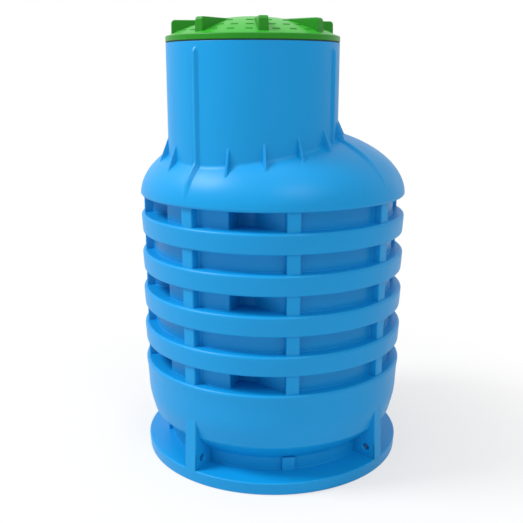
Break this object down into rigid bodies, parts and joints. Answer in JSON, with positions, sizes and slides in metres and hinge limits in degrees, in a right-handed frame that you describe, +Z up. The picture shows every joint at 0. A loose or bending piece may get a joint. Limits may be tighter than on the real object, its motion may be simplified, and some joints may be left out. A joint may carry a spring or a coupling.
{
  "type": "well caisson",
  "caption": "Tall round plastic well caisson with a hooped barrel, domed shoulder, off-centre entry neck and a lugged screw lid, for burying over a well head.",
  "frame": {"origin": "centre of the base plate's underside, on the axis of the barrel", "axes": "+Z up along the barrel, -Y towards the side that the neck is set to, +X to its right"},
  "size_m": [1.2, 1.2, 1.97],
  "materials": {
    "body_plastic": "smooth moulded polyethylene with a soft gloss",
    "lid_plastic": "smooth moulded polyethylene with a soft gloss",
    "seal_rubber": "matt black rubber"
  },
  "bodies": {
    "caisson": {"barrel_band_1": "body_plastic", "barrel_band_2": "body_plastic", "barrel_band_3": "body_plastic", "barrel_band_4": "body_plastic", "barrel_band_5": "body_plastic", "base_flange": "body_plastic", "base_plate": "body_plastic", "bottom_bowl": "body_plastic", "foot_blocks": "body_plastic", "foot_gusset_back": "body_plastic", "foot_gusset_front": "body_plastic", "foot_gusset_left": "body_plastic", "foot_gusset_right": "body_plastic", "hoop_1": "body_plastic", "hoop_2": "body_plastic", "hoop_3": "body_plastic", "hoop_4": "body_plastic", "neck": "body_plastic", "neck_gussets": "body_plastic", "neck_rib_back": "body_plastic", "neck_rib_front": "body_plastic", "neck_rib_left": "body_plastic", "neck_rib_right": "body_plastic", "pedestal": "body_plastic", "posts_1": "body_plastic", "posts_2": "body_plastic", "posts_3": "body_plastic", "posts_4": "body_plastic", "posts_5": "body_plastic", "shoulder_back": "body_plastic", "shoulder_front": "body_plastic", "shoulder_ledge": "body_plastic", "shoulder_left": "body_plastic", "shoulder_right": "body_plastic", "step_1_left": "body_plastic", "step_1_right": "body_plastic", "step_3_left": "body_plastic", "step_3_right": "body_plastic", "step_5_left": "body_plastic", "step_5_right": "body_plastic"},
    "lid_seal": {"lid_seal": "seal_rubber"},
    "lid": {"lid_cover": "lid_plastic", "lid_lugs": "lid_plastic", "lid_rim": "lid_plastic", "lid_spigot": "lid_plastic"}
  },
  "joints": [
    {"name": "lid_lift", "type": "slide", "parent": "caisson", "child": "lid_seal", "axis": [0, 0, 1], "range_m": [0, 0.4]},
    {"name": "lid_turn", "type": "hinge", "parent": "lid_seal", "child": "lid", "pos_m": [0, -0.145, 1.865], "axis": [0, 0, 1], "range_deg": [0, 330]}
  ]
}
